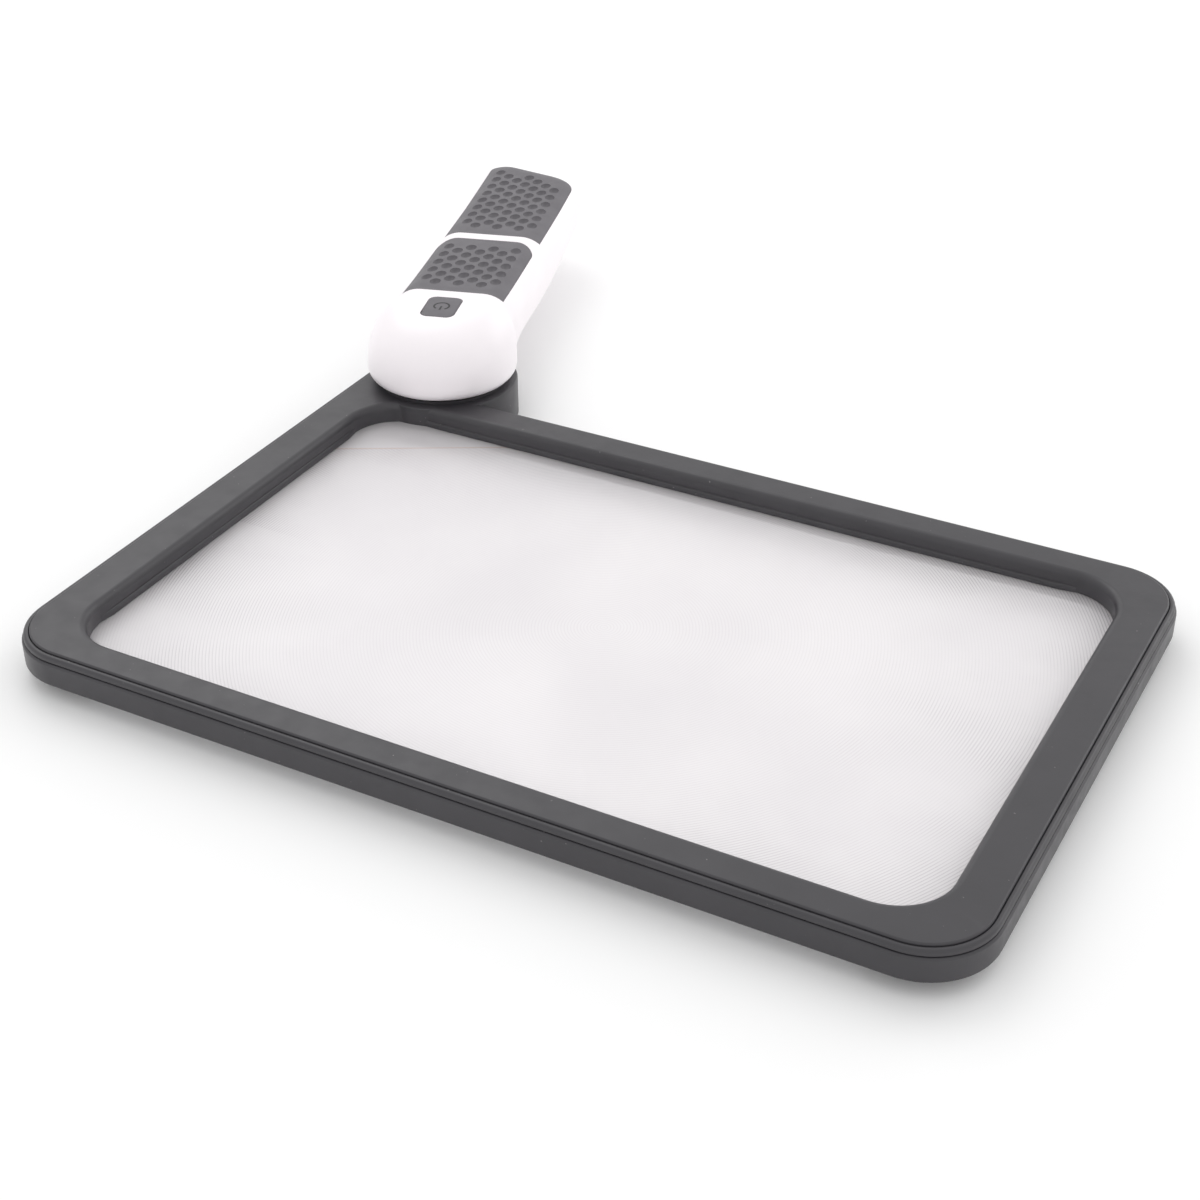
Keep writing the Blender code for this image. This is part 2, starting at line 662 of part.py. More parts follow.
def make_power_button(parent, mat):
    place = (0.0, BUTTON_Y)
    cap = plate("cap", 26.0 * MM, BUTTON_TOP, rounded_rectangle(*BUTTON_HALF, BUTTON_CORNER - GAP, place, 4))
    flange = rounded_rectangle(BUTTON_HALF[0] + 1.1 * MM, BUTTON_HALF[1] + 1.1 * MM, 3.5 * MM, place, 4)
    join(cap, plate("flange", 25.2 * MM, 26.3 * MM, flange))
    return finish(cap, "power_button", mat, parent)


def make_switch_plunger(parent, mat):
    plunger = disc("plunger", 1.7 * MM, 22.9 * MM, 24.9 * MM, (0.0, BUTTON_Y), 20)
    return finish(plunger, "switch_plunger", mat, parent)


def make_tact_switch(parent, mat):
    low = (-3.0 * MM, BUTTON_Y - 3.0 * MM, 18.7 * MM)
    switch = block("switch", low, (3.0 * MM, BUTTON_Y + 3.0 * MM, 21.6 * MM))
    join(switch, disc("stem", 1.7 * MM, 21.0 * MM, 22.2 * MM, (0.0, BUTTON_Y), 16))
    return finish(switch, "tact_switch", mat, parent)


def make_control_board(parent, mat):
    board = block("board", (-11 * MM, -8 * MM, 17.4 * MM), (11 * MM, 20 * MM, 18.4 * MM))
    return finish(board, "control_board", mat, parent)


def make_pivot_tube(parent, mat):
    profile = (
        (TUBE_FLANGE_R, 13.0), (TUBE_FLANGE_R, 12.0), (TUBE_R, 12.0), (TUBE_R, 1.2),
        (TUBE_GROOVE_R, 1.2), (TUBE_GROOVE_R, 0.3), (TUBE_R, 0.3), (TUBE_R, -1.1),
        (TUBE_BORE_R, -1.1), (TUBE_BORE_R, 13.0),
    )
    tube = turned("tube", [(radius, z * MM) for radius, z in profile])
    return finish(tube, "pivot_tube", mat, parent)


def make_wave_washer(parent, mat):
    washer = ring("washer", 8.0 * MM, TUBE_R + GAP, 1.4 * MM, 1.9 * MM)
    return finish(washer, "wave_washer", mat, parent)


def make_retaining_ring(parent, mat):
    outline = arc((0.0, 0.0), 7.0 * MM, 20, 340, 20) + arc((0.0, 0.0), 4.6 * MM, 340, 20, 20)
    clip = plate("clip", 0.45 * MM, 1.05 * MM, outline)
    return finish(clip, "retaining_ring", mat, parent)


def make_stop_pin(parent, mat):
    pin = disc("pin", STOP_PIN_R, 7.2 * MM, 10.9 * MM, (0.0, -STOP_RADIUS), 20)
    return finish(pin, "stop_pin", mat, parent)


def cell_ends(index):
    """Y of a cell's flat end and of its nub end; neighbouring cells lie head to tail."""
    start, end = CELL_Y, CELL_Y + CELL_LENGTH
    return (start, end) if index % 2 == 0 else (end, start)


def make_cells(parent, mat):
    for index in range(3):
        x = (index - 1) * CELL_PITCH
        flat, nub = cell_ends(index)
        body_length = CELL_LENGTH - CELL_NUB
        low = flat if nub > flat else flat - body_length
        cell = lying(disc("cell", CELL_R, 0.0, body_length, steps=28), x, low, CELL_Z)
        nub_low = nub - 2 * CELL_NUB if nub > flat else nub
        join(cell, lying(disc("nub", 2.6 * MM, 0.0, 2 * CELL_NUB, steps=20), x, nub_low, CELL_Z))
        finish(cell, "battery_" + str(index + 1), mat, parent)


def make_contacts(parent, mat):
    for index in range(3):
        x = (index - 1) * CELL_PITCH
        flat, nub = cell_ends(index)
        outward = -1.0 if nub > flat else 1.0
        coil = []
        for i in range(25):
            angle = math.radians(30.0 * i)
            radius = (2.0 + 1.6 * i / 24) * MM
            y = flat + outward * (0.6 + 2.4 * i / 24) * MM
            coil.append((x + radius * math.cos(angle), y, CELL_Z + radius * math.sin(angle)))
        finish(wire("spring", coil, 0.25 * MM, 0), "contact_spring_" + str(index + 1), mat, parent)
        near, far = nub - outward * GAP, nub - outward * (GAP + 0.4 * MM)
        low = (x - TAB_HALF, min(near, far), CELL_Z - TAB_HALF)
        tab = block("plate", low, (x + TAB_HALF, max(near, far), CELL_Z + TAB_HALF))
        finish(tab, "contact_plate_" + str(index + 1), mat, parent)


def make_handle_screws(parent, mat):
    for index, (x, y) in enumerate(HANDLE_SCREWS):
        floor = smooth_line(BOTTOM_LINE, y * MM)
        place = (x * MM, y * MM)
        screw = disc("head", 1.8 * MM, floor + 0.2 * MM, floor + 0.9 * MM, place, 16)
        join(screw, disc("shank", 0.9 * MM, floor + 0.5 * MM, 20.0 * MM, place, 12))
        finish(screw, "handle_screw_" + str(index + 1), mat, parent)


def make_handle_leads(parent, mat):
    """One lead down the pivot tube, and one from the control board to the cell contacts."""
    down = ((1.5 * MM, 0.0, 17.0 * MM), (1.0 * MM, 0.0, 14.0 * MM), (0.6 * MM, 0.0, -0.9 * MM))
    across = (
        (6 * MM, 20.6 * MM, 17.9 * MM), (6 * MM, 22.5 * MM, 17.0 * MM),
        (5 * MM, 27 * MM, 15.5 * MM), (3 * MM, 33 * MM, 14.6 * MM),
    )
    finish(wire("lead", down, 0.5 * MM), "lead_through_pivot", mat, parent)
    finish(wire("lead", across, 0.4 * MM), "lead_to_cells", mat, parent)


# ---------------------------------------------------------------- assembly

def move_to_footprint_centre(root):
    """Put the world origin under the middle of the whole object, at its lowest point."""
    bpy.context.view_layer.update()
    corners = []
    for obj in collection(PARTS).objects:
        if obj.type == "MESH":
            corners += [obj.matrix_world @ vert.co for vert in obj.data.vertices]
    low = [min(corner[axis] for corner in corners) for axis in range(3)]
    high = [max(corner[axis] for corner in corners) for axis in range(3)]
    root.location = (-(low[0] + high[0]) / 2.0, -(low[1] + high[1]) / 2.0, -low[2])


def empty(name, parent, location, turn=0.0):
    obj = bpy.data.objects.new(name, None)
    obj.empty_display_size = 0.02
    obj.location = location
    obj.rotation_euler = (0.0, 0.0, turn)
    obj.parent = parent
    collection(PARTS).objects.link(obj)
    return obj


def main():
    clear_scene()
    dark = material("frame_plastic", (0.075, 0.073, 0.078), 0.45)
    white = material("handle_plastic", (0.86, 0.83, 0.85), 0.35)
    grey = material("grip_rubber", (0.18, 0.175, 0.19), 0.6)
    clear = material("lens_acrylic", (0.92, 0.92, 0.93), 0.1, 0.0, 0.4)
    frosted = material("diffuser_plastic", (0.85, 0.86, 0.88), 0.5)
    board = material("board_laminate", (0.05, 0.22, 0.1), 0.5)
    chip = material("light_chip", (0.9, 0.85, 0.5), 0.4)
    steel = material("steel", (0.6, 0.6, 0.62), 0.35, 1.0)
    spring = material("contact_metal", (0.75, 0.72, 0.65), 0.3, 1.0)
    jacket = material("cell_jacket", (0.09, 0.1, 0.12), 0.35)
    nylon = material("nylon", (0.7, 0.7, 0.68), 0.5)
    switch = material("switch_plastic", (0.05, 0.05, 0.05), 0.5)
    lead = material("lead_insulation", (0.45, 0.03, 0.03), 0.45)

    root = empty("magnifier", None, (0.0, 0.0, 0.0))
    frame = empty("frame", root, (0.0, 0.0, 0.0))
    handle = empty("handle_axis", root, PIVOT, REST_TURN)

    make_frame_lower_cover(frame, dark)
    make_frame_upper_cover(frame, dark)
    make_lens(frame, clear)
    make_boss_cap(frame, dark)
    make_friction_washer(frame, nylon)
    make_lighting(frame, board, chip, frosted)
    make_frame_screws(frame, steel)
    make_frame_leads(frame, lead)

    make_handle_upper_shell(handle, white)
    make_handle_lower_shell(handle, white)
    make_battery_door(handle, white)
    make_pads(handle, grey)
    make_power_button(handle, grey)
    make_switch_plunger(handle, switch)
    make_tact_switch(handle, switch)
    make_control_board(handle, board)
    make_pivot_tube(handle, steel)
    make_wave_washer(handle, steel)
    make_retaining_ring(handle, steel)
    make_stop_pin(handle, steel)
    make_cells(handle, jacket)
    make_contacts(handle, spring)
    make_handle_screws(handle, steel)
    make_handle_leads(handle, lead)

    move_to_footprint_centre(root)


main()
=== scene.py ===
"""Looks for the full-page reading magnifier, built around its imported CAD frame."""

import json
import math

import bmesh
import bpy
from mathutils import Matrix, Quaternion, Vector


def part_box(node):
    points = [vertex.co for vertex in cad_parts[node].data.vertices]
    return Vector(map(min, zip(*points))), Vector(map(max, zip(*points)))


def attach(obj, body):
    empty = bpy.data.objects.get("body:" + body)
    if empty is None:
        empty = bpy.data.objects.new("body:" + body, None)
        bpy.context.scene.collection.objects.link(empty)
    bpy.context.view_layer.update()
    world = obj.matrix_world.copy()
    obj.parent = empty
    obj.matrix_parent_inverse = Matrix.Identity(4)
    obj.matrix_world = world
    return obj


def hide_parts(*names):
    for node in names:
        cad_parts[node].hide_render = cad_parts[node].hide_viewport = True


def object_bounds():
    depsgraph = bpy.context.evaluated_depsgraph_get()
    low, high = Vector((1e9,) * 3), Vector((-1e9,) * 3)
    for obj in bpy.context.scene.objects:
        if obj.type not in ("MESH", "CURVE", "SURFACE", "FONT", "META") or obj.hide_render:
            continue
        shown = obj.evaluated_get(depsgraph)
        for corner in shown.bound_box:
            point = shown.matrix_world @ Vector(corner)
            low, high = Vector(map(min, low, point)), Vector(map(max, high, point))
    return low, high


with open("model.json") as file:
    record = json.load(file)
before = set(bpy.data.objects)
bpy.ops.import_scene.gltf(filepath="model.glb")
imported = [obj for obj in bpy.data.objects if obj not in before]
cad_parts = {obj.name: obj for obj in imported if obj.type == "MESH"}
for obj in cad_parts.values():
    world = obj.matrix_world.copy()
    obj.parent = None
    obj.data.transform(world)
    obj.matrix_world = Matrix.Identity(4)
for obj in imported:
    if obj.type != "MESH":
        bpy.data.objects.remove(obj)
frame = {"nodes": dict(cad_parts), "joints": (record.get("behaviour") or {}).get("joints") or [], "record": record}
CAD_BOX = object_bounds()

MM = 0.001

# The frame's own zero: the middle of the lens, at the frame's underside
LENS_LOW = 1.3
LENS_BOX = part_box("fresnel_lens")
ZERO = Vector((
    (LENS_BOX[0].x + LENS_BOX[1].x) / 2.0,
    (LENS_BOX[0].y + LENS_BOX[1].y) / 2.0,
    LENS_BOX[0].z - LENS_LOW * MM,
))
SWIVEL = next(joint for joint in frame["joints"] if joint["name"] == "handle_swivel")
PIVOT = Vector((SWIVEL["pos_m"][0], SWIVEL["pos_m"][1], ZERO.z))
FLOOR_Z = CAD_BOX[0][2]

# Frame, in millimetres about its zero
HALF_X = 120.0
HALF_Y = 77.75
CORNER = 16.7
WINDOW_X = 107.3
WINDOW_Y = 67.1
WINDOW_CORNER = 13.3
TOP = 8.3
BOSS = ((PIVOT.x - ZERO.x) / MM, (PIVOT.y - ZERO.y) / MM)
BOSS_R = 21.3
BOSS_TOP = 9.1
BOSS_LOW = -4.0
BOSS_STEP_R = 18.5
CAP_SEAT = 15.0
CAP_SEAT_TOP = -2.0
WALL_TOP = 6.2
WALL_ROUND = 0.6
LIP_IN = 0.5
LIP_LOW = 6.45
LIP_TOP = 7.8
LIP_ROUND = 0.8
CREASE_IN = 1.95
TOP_ROUND = 0.5
INNER_ROUND = 1.9
SKIRT_LOW = 3.05
LENS_LAP = 2.0
LENS_SEAT = 1.2
LENS_EDGE = 0.2
BEAD_LOW = 3.0
BEAD_HEIGHT = 1.5
BEAD_DEPTH = 0.55
BEAD_BEVEL = 0.4
BEAD_SUNK = 0.2
BEAD_STOP = 17.0
BEAD_TAPER = 6.0

# Handle, in millimetres about the pivot, pointing along +Y
REST_TURN = math.radians(17.0)
HEAD_R = 21.3
HANDLE_HALF = 18.2
END_CENTRE = 105.5
END_SLOPE = 0.40
TIP_R = 6.0
SHOULDER_R = 16.0
SHELL = 2.0
TOP_LINE = ((-30, 28.9), (4, 28.9), (28, 27.6), (67, 26.1), (89, 25.4), (122, 24.8), (150, 24.4))
BOTTOM_LINE = (
    (-30, 9.7), (13, 9.7), (22, 11.0), (44, 9.8), (61, 9.3), (89, 10.9), (134, 15.0), (150, 16.0),
)
EDGE_ROUND = 8.9
DOME_RUN = 7.1
DOME_DROP = 6.5
DOME_START = 14.0
DOME_BLEND = 20.0
LOW_ROUND = 3.2
ABOVE_ALL = 40.0
SEAM_AT_HEAD = 13.6
SEAM_RISE = 0.028
PAD_EDGE = 3.3
PAD_GAP = 0.12
PAD_BODY = 1.65
PAD_RECESS = 1.75
FRONT_PAD_Y = (13.3, 56.2)
REAR_PAD_Y = (60.9, 150.0)
PAD_CORNER = 6.5
PAD_LOW = 17.2
BUTTON_Y = 1.5
BUTTON_HALF = (4.85, 6.8)
BUTTON_CORNER = 2.4
BUTTON_GAP = 0.15
BUTTON_TOP = 29.0
SYMBOL_STROKE = 0.28
SYMBOL_R = 2.15
DOOR_HALF = 13.5
DOOR_Y = (34.5, 88.0)
DOOR_GAP = 0.2
DOOR_THICKNESS = 1.5
RIB_COUNT = 5
RIB_START = 40.0
RIB_PITCH = 1.8
RIB_HALF = (6.0, 0.45)
RIB_CORNER = 0.4
RIB_DEPTH = 0.35
PIVOT_HOLE_R = 5.3
HANDLE_SCREW_COUNT = 4
SCREW_SEAT_R = 2.2
SCREW_SEAT_DEPTH = 1.2
DIMPLE_R = 1.6
DIMPLE_DEPTH = 1.2
DIMPLE_STRETCH = 1.4
DIMPLE_PITCH = 6.4
DIMPLE_COLUMN = 3.45
DIMPLE_COLUMNS = 3
DIMPLE_MARGIN = 7.0
DIMPLE_FRONT_STOP = 5.0
DIMPLE_REAR_STOP = 12.0
LENS_PITCH = 0.78
LENS_COVER = 0.42
CLOUD_LOW = (0.93, 0.90, 0.92)
CLOUD_HIGH = (1.0, 0.97, 0.985)
CLEAR_CORNER = 103.0
CLEAR_SLOPE = 0.55

# Studio: angles in degrees, camera place in frame lengths, lamps in metres and watts
SHARP_DEGREES = 32.0
CAMERA_ANGLES = (28.32, 32.65, -0.26)
CAMERA_PLACE = (0.809, -1.509, 1.141)
CAMERA_LENS = 62.03
LAMP_SIZE = 0.9
LAMP_POWER = 2.6
WORLD_LIGHT = 0.97

TO_WORLD = Matrix.Translation(ZERO) @ Matrix.Scale(MM, 4)
HANDLE_TO_WORLD = Matrix.Translation(PIVOT) @ Matrix.Rotation(REST_TURN, 4, "Z") @ Matrix.Scale(MM, 4)


# ---------------------------------------------------------------- mesh helpers

def mesh_from(name, bm):
    mesh = bpy.data.meshes.new(name)
    bm.to_mesh(mesh)
    bm.free()
    return mesh


def tool_object(name, mesh):
    obj = bpy.data.objects.new(name, mesh)
    bpy.context.scene.collection.objects.link(obj)
    return obj


def applied_mesh(obj):
    """The object's mesh with its modifiers applied, doubled points merged."""
    bpy.context.view_layer.update()
    graph = bpy.context.evaluated_depsgraph_get()
    mesh = bpy.data.meshes.new_from_object(obj.evaluated_get(graph))
    bm = bmesh.new()
    bm.from_mesh(mesh)
    bmesh.ops.remove_doubles(bm, verts=bm.verts, dist=1e-4)
    bm.to_mesh(mesh)
    bm.free()
    return mesh


def combine(target, tool, operation):
    modifier = target.modifiers.new(operation, "BOOLEAN")
    modifier.operation = operation
    modifier.solver = "EXACT"
    modifier.object = tool
    mesh = applied_mesh(target)
    target.modifiers.remove(modifier)
    target.data = mesh
    bpy.data.objects.remove(tool, do_unlink=True)
    return target


def cut(target, *tools):
    for tool in tools:
        combine(target, tool, "DIFFERENCE")
    return target


def keep_inside(target, tool):
    return combine(target, tool, "INTERSECT")


def finish_piece(obj, name, to_world, mat, body, replaced=()):
    """Place a piece in the row frame, give it its finish and tie it to its body."""
    obj.name = name
    obj.data.name = name
    obj.data.transform(to_world)
    obj.data.materials.clear()
    obj.data.materials.append(mat)
    obj.data.shade_smooth()
    obj.data.set_sharp_from_angle(angle=math.radians(SHARP_DEGREES))
    weighted = obj.modifiers.new("normals", "WEIGHTED_NORMAL")
    weighted.keep_sharp = True
    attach(obj, body)
    if replaced:
        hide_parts(*replaced)
    return obj


def arc(centre, radius, start, end, steps):
    points = []
    for i in range(steps + 1):
        angle = math.radians(start + (end - start) * i / steps)
        points.append((centre[0] + radius * math.cos(angle), centre[1] + radius * math.sin(angle)))
    return points


def circle(radius, centre=(0.0, 0.0), steps=96):
    return arc(centre, radius, 0.0, 360.0 - 360.0 / steps, steps - 1)


def rounded_rectangle(half_x, half_y, radius, centre=(0.0, 0.0), steps=14):
    points = []
    for sign_x, sign_y, start in ((1, 1, 0), (-1, 1, 90), (-1, -1, 180), (1, -1, 270)):
        corner = (centre[0] + sign_x * (half_x - radius), centre[1] + sign_y * (half_y - radius))
        points += arc(corner, radius, start, start + 90, steps)
    return points


def frame_outline(inset=0.0):
    """Outer edge of the frame with its three round corners, running into the boss circle."""
    x, y, radius, boss = HALF_X - inset, HALF_Y - inset, CORNER - inset, BOSS_R - inset
    meet = math.degrees(math.asin((y - BOSS[1]) / boss))
    points = arc((x - radius, -y + radius), radius, 270, 360, 16)
    points += arc((x - radius, y - radius), radius, 0, 90, 16)
    points += arc(BOSS, boss, meet, 180, 48)
    points += arc((-x + radius, -y + radius), radius, 180, 270, 16)
    return points


def window_outline(grow=0.0):
    return rounded_rectangle(WINDOW_X + grow, WINDOW_Y + grow, WINDOW_CORNER + grow, steps=16)


def add_loop(bm, outline, height):
    return [bm.verts.new((x, y, height)) for x, y in outline]


def bridge(bm, lower, upper):
    count = len(lower)
    for i in range(count):
        k = (i + 1) % count
        bm.faces.new((lower[i], lower[k], upper[k], upper[i]))


def loft(bm, outline, section):
    """Skin an outline function through (inset, height) pairs; returns the first and last loop."""
    loops = [add_loop(bm, outline(inset), height) for inset, height in section]
    for lower, upper in zip(loops, loops[1:]):
        bridge(bm, lower, upper)
    return loops[0], loops[-1]


def fill(bm, *loops):
    """Fill the flat area between an outer loop and the loops inside it."""
    edges = []
    for loop in loops:
        for i, vert in enumerate(loop):
            other = loop[(i + 1) % len(loop)]
            edge = bm.edges.get((vert, other)) or bm.edges.new((vert, other))
            edges.append(edge)
    bmesh.ops.triangle_fill(bm, use_beauty=True, use_dissolve=False, edges=edges)


def rounding(start, end, steps=6):
    """Quarter round between two (inset, height) points, leaving the first one along the flat."""
    points = []
    for i in range(steps + 1):
        angle = math.pi / 2.0 * i / steps
        inset = start[0] + (end[0] - start[0]) * math.sin(angle)
        height = start[1] + (end[1] - start[1]) * (1.0 - math.cos(angle))
        points.append((inset, height))
    return points


def plate(name, low, high, outline):
    bm = bmesh.new()
    lower = add_loop(bm, outline, low)
    upper = add_loop(bm, outline, high)
    bridge(bm, lower, upper)
    bm.faces.new(lower[::-1])
    bm.faces.new(upper)
    return tool_object(name, mesh_from(name, bm))


def lathe(bm, profile, centre=(0.0, 0.0), steps=128):
    """Turn (radius, height) points about a vertical line; a radius of zero closes the end."""
    rings = []
    for radius, height in profile:
        if radius == 0.0:
            rings.append([bm.verts.new((centre[0], centre[1], height))])
        else:
            rings.append(add_loop(bm, circle(radius, centre, steps), height))
    for lower, upper in zip(rings, rings[1:]):
        for i in range(steps):
            k = (i + 1) % steps
            corners = [lower[i % len(lower)], lower[k % len(lower)]]
            corners += [upper[k % len(upper)], upper[i % len(upper)]]
            bm.faces.new(list(dict.fromkeys(corners)))


def below_seam(name):
    """Everything under the slightly rising plane between the two handle shells."""
    bm = bmesh.new()
    bmesh.ops.create_cube(bm, size=1.0)
    bmesh.ops.transform(bm, verts=bm.verts, matrix=Matrix.Diagonal((100.0, 400.0, 100.0, 1.0)))
    bmesh.ops.translate(bm, verts=bm.verts, vec=(0.0, 0.0, -50.0))
    obj = tool_object(name, mesh_from(name, bm))
    slope = Matrix.Rotation(math.atan(SEAM_RISE), 4, "X")
    obj.data.transform(Matrix.Translation((0.0, 0.0, SEAM_AT_HEAD + SEAM_RISE * HEAD_R)) @ slope)
    return obj


# ---------------------------------------------------------------- handle form

def smooth_line(line, y):
    """Height of a line of (y, z) points, smoothed between them."""
    last = len(line) - 1
    index = max(i for i in range(last) if i == 0 or line[i][0] <= y)
    before, start, end, after = (line[min(max(index + k, 0), last)] for k in (-1, 0, 1, 2))
    width = end[0] - start[0]
    part = min(max((y - start[0]) / width, 0.0), 1.0)
    slope_in = (end[1] - before[1]) / (end[0] - before[0]) if before != start else 0.0
    slope_out = (after[1] - start[1]) / (after[0] - start[0]) if after != end else 0.0
    square, cube = part * part, part * part * part
    height = (2 * cube - 3 * square + 1) * start[1] + (cube - 2 * square + part) * width * slope_in
    return height + (3 * square - 2 * cube) * end[1] + (cube - square) * width * slope_out


def corner_arc(before, corner, after, radius, steps=10):
    to_before = (before - corner).normalized()
    to_after = (after - corner).normalized()
    half_angle = to_before.angle(to_after) / 2.0
    centre = corner + (to_before + to_after).normalized() * radius / math.sin(half_angle)
    start = corner + to_before * radius / math.tan(half_angle) - centre
    end = corner + to_after * radius / math.tan(half_angle) - centre
    turn = start.angle_signed(end)
    points = []
    for i in range(steps + 1):
        angle = -turn * i / steps
        x = start.x * math.cos(angle) - start.y * math.sin(angle)
        y = start.x * math.sin(angle) + start.y * math.cos(angle)
        points.append(centre + Vector((x, y)))
    return points


def handle_outline(inset, head_steps=72, side_steps=26):
    """Edge points of the handle in plan, each with its partner on the middle line and its half width."""
    head = HEAD_R - inset
    half = HANDLE_HALF - inset
    join_y = math.sqrt(head * head - half * half)
    start_angle = math.degrees(math.atan2(join_y, half))
    spine_start = 0.47 * join_y
    rows = []
    for x, y in arc((0.0, 0.0), head, 180.0 - start_angle, 360.0 + start_angle, head_steps):
        lift = max(0.0, y / join_y) ** 3
        rows.append((Vector((x, y)), Vector((0.0, spine_start * lift)), head + (half - head) * lift))
    slope_length = math.hypot(1.0, END_SLOPE)
    reach = END_CENTRE + half * slope_length
    shoulder = Vector((half, reach - END_SLOPE * half))
    tip = Vector((-half, reach + END_SLOPE * half))
    right = corner_arc(Vector((half, 0.0)), shoulder, tip, max(SHOULDER_R - inset, 0.5))
    left = corner_arc(shoulder, tip, Vector((-half, 0.0)), max(TIP_R - inset, 0.5))
    end = Vector((0.0, END_CENTRE))
    first_spine = Vector((0.0, spine_start))
    right_start, left_start = rows[-1][0], rows[0][0]
    for i in range(1, side_steps):
        part = i / side_steps
        rows.append((right_start.lerp(right[0], part), first_spine.lerp(end, part), half))
    rows += [(point, end, half) for point in right]
    for i in range(1, 8):
        rows.append((right[-1].lerp(left[0], i / 8), end, half))
    rows += [(point, end, half) for point in left]
    for i in range(side_steps - 1, 0, -1):
        part = i / side_steps
        rows.append((left_start.lerp(left[-1], part), first_spine.lerp(end, part), half))
    return rows


def edge_rounding(edge, thickness, inset):
    """Run and drop of the upper rounding: a dome nearly full height at the head, tighter elsewhere."""
    backness = 0.5 - 0.5 * edge.y / max(edge.length, 1e-9) if edge.y < HEAD_R / 2.0 else 0.0
    dome = max(0.0, (backness - 0.3) / 0.7)
    dome = dome * dome * (3.0 - 2.0 * dome)
    headness = min(max((DOME_START - edge.y) / DOME_BLEND, 0.0), 1.0)
    headness = headness * headness * (3.0 - 2.0 * headness)
    run = EDGE_ROUND + DOME_RUN * dome - inset
    drop = min(EDGE_ROUND + DOME_DROP * headness - inset, (0.62 + 0.2 * headness) * thickness)
    return run, drop


def handle_form(name, inset, lower_loops=7, upper_loops=12, crown_loops=3):
    """The whole handle as one closed body, with its surface moved inwards by inset."""
    rows = handle_outline(inset)
    bm = bmesh.new()
    rings = []

    def add_ring(angle, upper, share):
        ring = []
        for edge, spine, half in rows:
            low = smooth_line(BOTTOM_LINE, edge.y) + inset
            high = smooth_line(TOP_LINE, edge.y) - inset
            run, drop = edge_rounding(edge, high - low, inset)
            if not upper:
                run = drop = min(LOW_ROUND - inset, 0.3 * (high - low))
            shift = run * (1.0 - math.cos(angle)) / half
            place = edge.lerp(spine, shift + (1.0 - shift) * share)
            line = TOP_LINE if upper else BOTTOM_LINE
            sign = 1.0 if upper else -1.0
            height = smooth_line(line, place.y) - sign * (inset + drop * (1.0 - math.sin(angle)))
            ring.append(bm.verts.new((place.x, place.y, height)))
        rings.append(ring)

    quarter = math.pi / 2.0
    for i in range(crown_loops):
        add_ring(quarter, False, 1.0 - i / crown_loops)
    for i in range(lower_loops, -1, -1):
        add_ring(quarter * i / lower_loops, False, 0.0)
    for i in range(upper_loops + 1):
        add_ring(quarter * i / upper_loops, True, 0.0)
    for i in range(1, crown_loops + 1):
        add_ring(quarter, True, i / crown_loops)
    for lower, upper in zip(rings, rings[1:]):
        bridge(bm, lower, upper)
    bmesh.ops.remove_doubles(bm, verts=bm.verts, dist=1e-3)
    bmesh.ops.dissolve_degenerate(bm, edges=bm.edges, dist=1e-4)
    bmesh.ops.recalc_face_normals(bm, faces=bm.faces)
    return tool_object(name, mesh_from(name, bm))


def pad_outline(span, grow):
    """Plan outline of a grip pad: the handle's edge moved in, cut square near and rounded far."""
    start, stop = span[0] - grow, span[1] + grow
    half = HANDLE_HALF - PAD_EDGE + grow
    if stop > END_CENTRE:
        points = [(p.x, p.y) for p, _, _ in handle_outline(PAD_EDGE - grow)]
        return [(-half, start), (half, start)] + [point for point in points if point[1] > start + 1.0]
    points = [(-half, start), (half, start)]
    points += arc((half - PAD_CORNER, stop - PAD_CORNER), PAD_CORNER, 0, 90, 12)
    points += arc((-half + PAD_CORNER, stop - PAD_CORNER), PAD_CORNER, 90, 180, 12)
    return points


# ---------------------------------------------------------------- materials

def new_material(name):
    mat = bpy.data.materials.new(name)
    mat.use_nodes = True
    tree = mat.node_tree
    return mat, tree, tree.nodes["Principled BSDF"]


def add_node(tree, kind, **values):
    node = tree.nodes.new(kind)
    for key, value in values.items():
        if hasattr(node, key):
            setattr(node, key, value)
        else:
            node.inputs[key.replace("_", " ")].default_value = value
    return node


def noise(tree, size, detail=3.0, source=None):
    """Noise with features about size millimetres across, in the object's own space."""
    coords = source or add_node(tree, "ShaderNodeTexCoord").outputs["Object"]
    node = add_node(tree, "ShaderNodeTexNoise", Scale=1.0 / (size * MM), Detail=detail)
    tree.links.new(coords, node.inputs["Vector"])
    return node.outputs["Fac"]


def ranged(tree, value, low, high, from_low=0.3, from_high=0.7):
    node = add_node(tree, "ShaderNodeMapRange")
    for socket, number in zip(("From Min", "From Max", "To Min", "To Max"), (from_low, from_high, low, high)):
        node.inputs[socket].default_value = number
    tree.links.new(value, node.inputs["Value"])
    return node.outputs["Result"]


def mixed(tree, factor, first, second):
    """Colour mix; first and second are colours or sockets."""
    node = add_node(tree, "ShaderNodeMix", data_type="RGBA")
    tree.links.new(factor, node.inputs["Factor"])
    for socket, value in ((node.inputs[6], first), (node.inputs[7], second)):
        if isinstance(value, tuple):
            socket.default_value = (*value, 1.0)
        else:
            tree.links.new(value, socket)
    return node.outputs[2]


